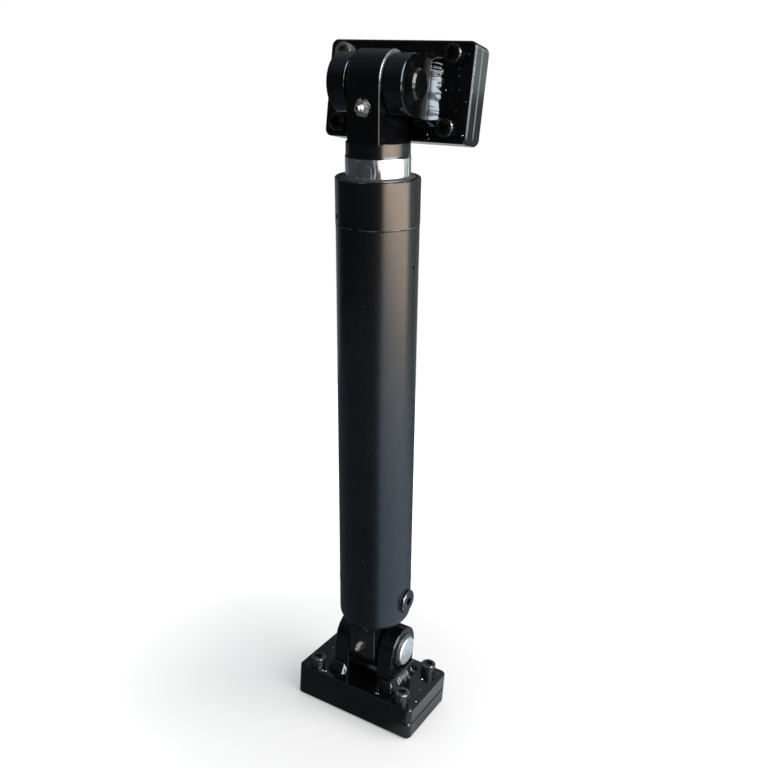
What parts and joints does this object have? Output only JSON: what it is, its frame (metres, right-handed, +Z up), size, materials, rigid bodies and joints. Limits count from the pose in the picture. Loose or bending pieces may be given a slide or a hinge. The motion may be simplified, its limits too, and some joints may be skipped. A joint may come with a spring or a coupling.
{
  "type": "hydraulic plunger cylinder",
  "caption": "Single-acting hydraulic plunger cylinder, retracted, with a plugged oil port and a bolted clevis bracket pinned to each end.",
  "frame": {"origin": "centre of the base backing plate's underside", "axes": "+X along the base pin, +Y to the side the top bracket's plates are on, +Z up, away from the base plate"},
  "size_m": [0.1652, 0.1603, 0.7727],
  "materials": {
    "black_paint": "gloss black paint on steel",
    "painted_pin": "black paint on a steel pin",
    "black_screw": "blackened steel fastener",
    "bare_steel": "bare turned steel",
    "plated_steel": "zinc-plated steel",
    "chrome": "hard chrome, ground and polished",
    "bush_bronze": "plain bronze bush",
    "seal_rubber": "black nitrile rubber",
    "guide_plastic": "fabric-filled resin guide strip"
  },
  "bodies": {
    "base_bracket": {"base_backing_plate": "black_paint", "base_ear_plate": "black_paint", "base_left_ear": "black_paint", "base_right_ear": "black_paint", "base_left_ear_weld": "black_paint", "base_right_ear_weld": "black_paint", "base_screws": "black_screw", "base_pin": "bare_steel", "base_washers": "black_screw", "base_circlip": "black_screw"},
    "barrel": {"base_knuckle": "black_paint", "base_bush": "bush_bronze", "base_nipple": "plated_steel", "base_knuckle_weld": "black_paint", "end_cap": "black_paint", "cap_weld": "black_paint", "barrel_tube": "black_paint", "port_plug": "black_screw", "port_seal": "seal_rubber", "bleed_screw": "black_screw", "gland_head": "black_paint", "gland_o_ring": "seal_rubber", "rod_seal": "seal_rubber", "rod_wiper": "seal_rubber", "gland_guide_ring": "guide_plastic"},
    "guide_rings": {"lower_guide_ring": "guide_plastic", "upper_guide_ring": "guide_plastic"},
    "plunger": {"plunger": "chrome", "piston_head": "bare_steel", "piston_nut": "bare_steel", "plunger_neck": "black_paint", "neck_weld": "black_paint", "top_knuckle": "black_paint", "top_bush": "bush_bronze", "top_nipple": "plated_steel"},
    "top_bracket": {"top_backing_plate": "black_paint", "top_ear_plate": "black_paint", "top_left_ear": "black_paint", "top_right_ear": "black_paint", "top_left_ear_weld": "black_paint", "top_right_ear_weld": "black_paint", "top_screws": "black_screw", "top_pin": "painted_pin", "top_washers": "black_screw", "top_circlip": "black_screw"}
  },
  "joints": [
    {"name": "base_hinge", "type": "hinge", "parent": "base_bracket", "child": "barrel", "pos_m": [0, 0, 0.08255], "axis": [1, 0, 0], "range_deg": [-91, 78]},
    {"name": "plunger_slide", "type": "slide", "parent": "barrel", "child": "guide_rings", "axis": [0, -0.1123, 0.9937], "range_m": [0, 0.33]},
    {"name": "plunger_swivel", "type": "hinge", "parent": "guide_rings", "child": "plunger", "pos_m": [0, 0, 0.08255], "axis": [0, -0.1123, 0.9937], "continuous": true},
    {"name": "top_hinge", "type": "hinge", "parent": "plunger", "child": "top_bracket", "pos_m": [-0.0015, -0.07309, 0.72843], "axis": [0.9989, 0.0468, 0.0053], "range_deg": [0, 190]}
  ]
}
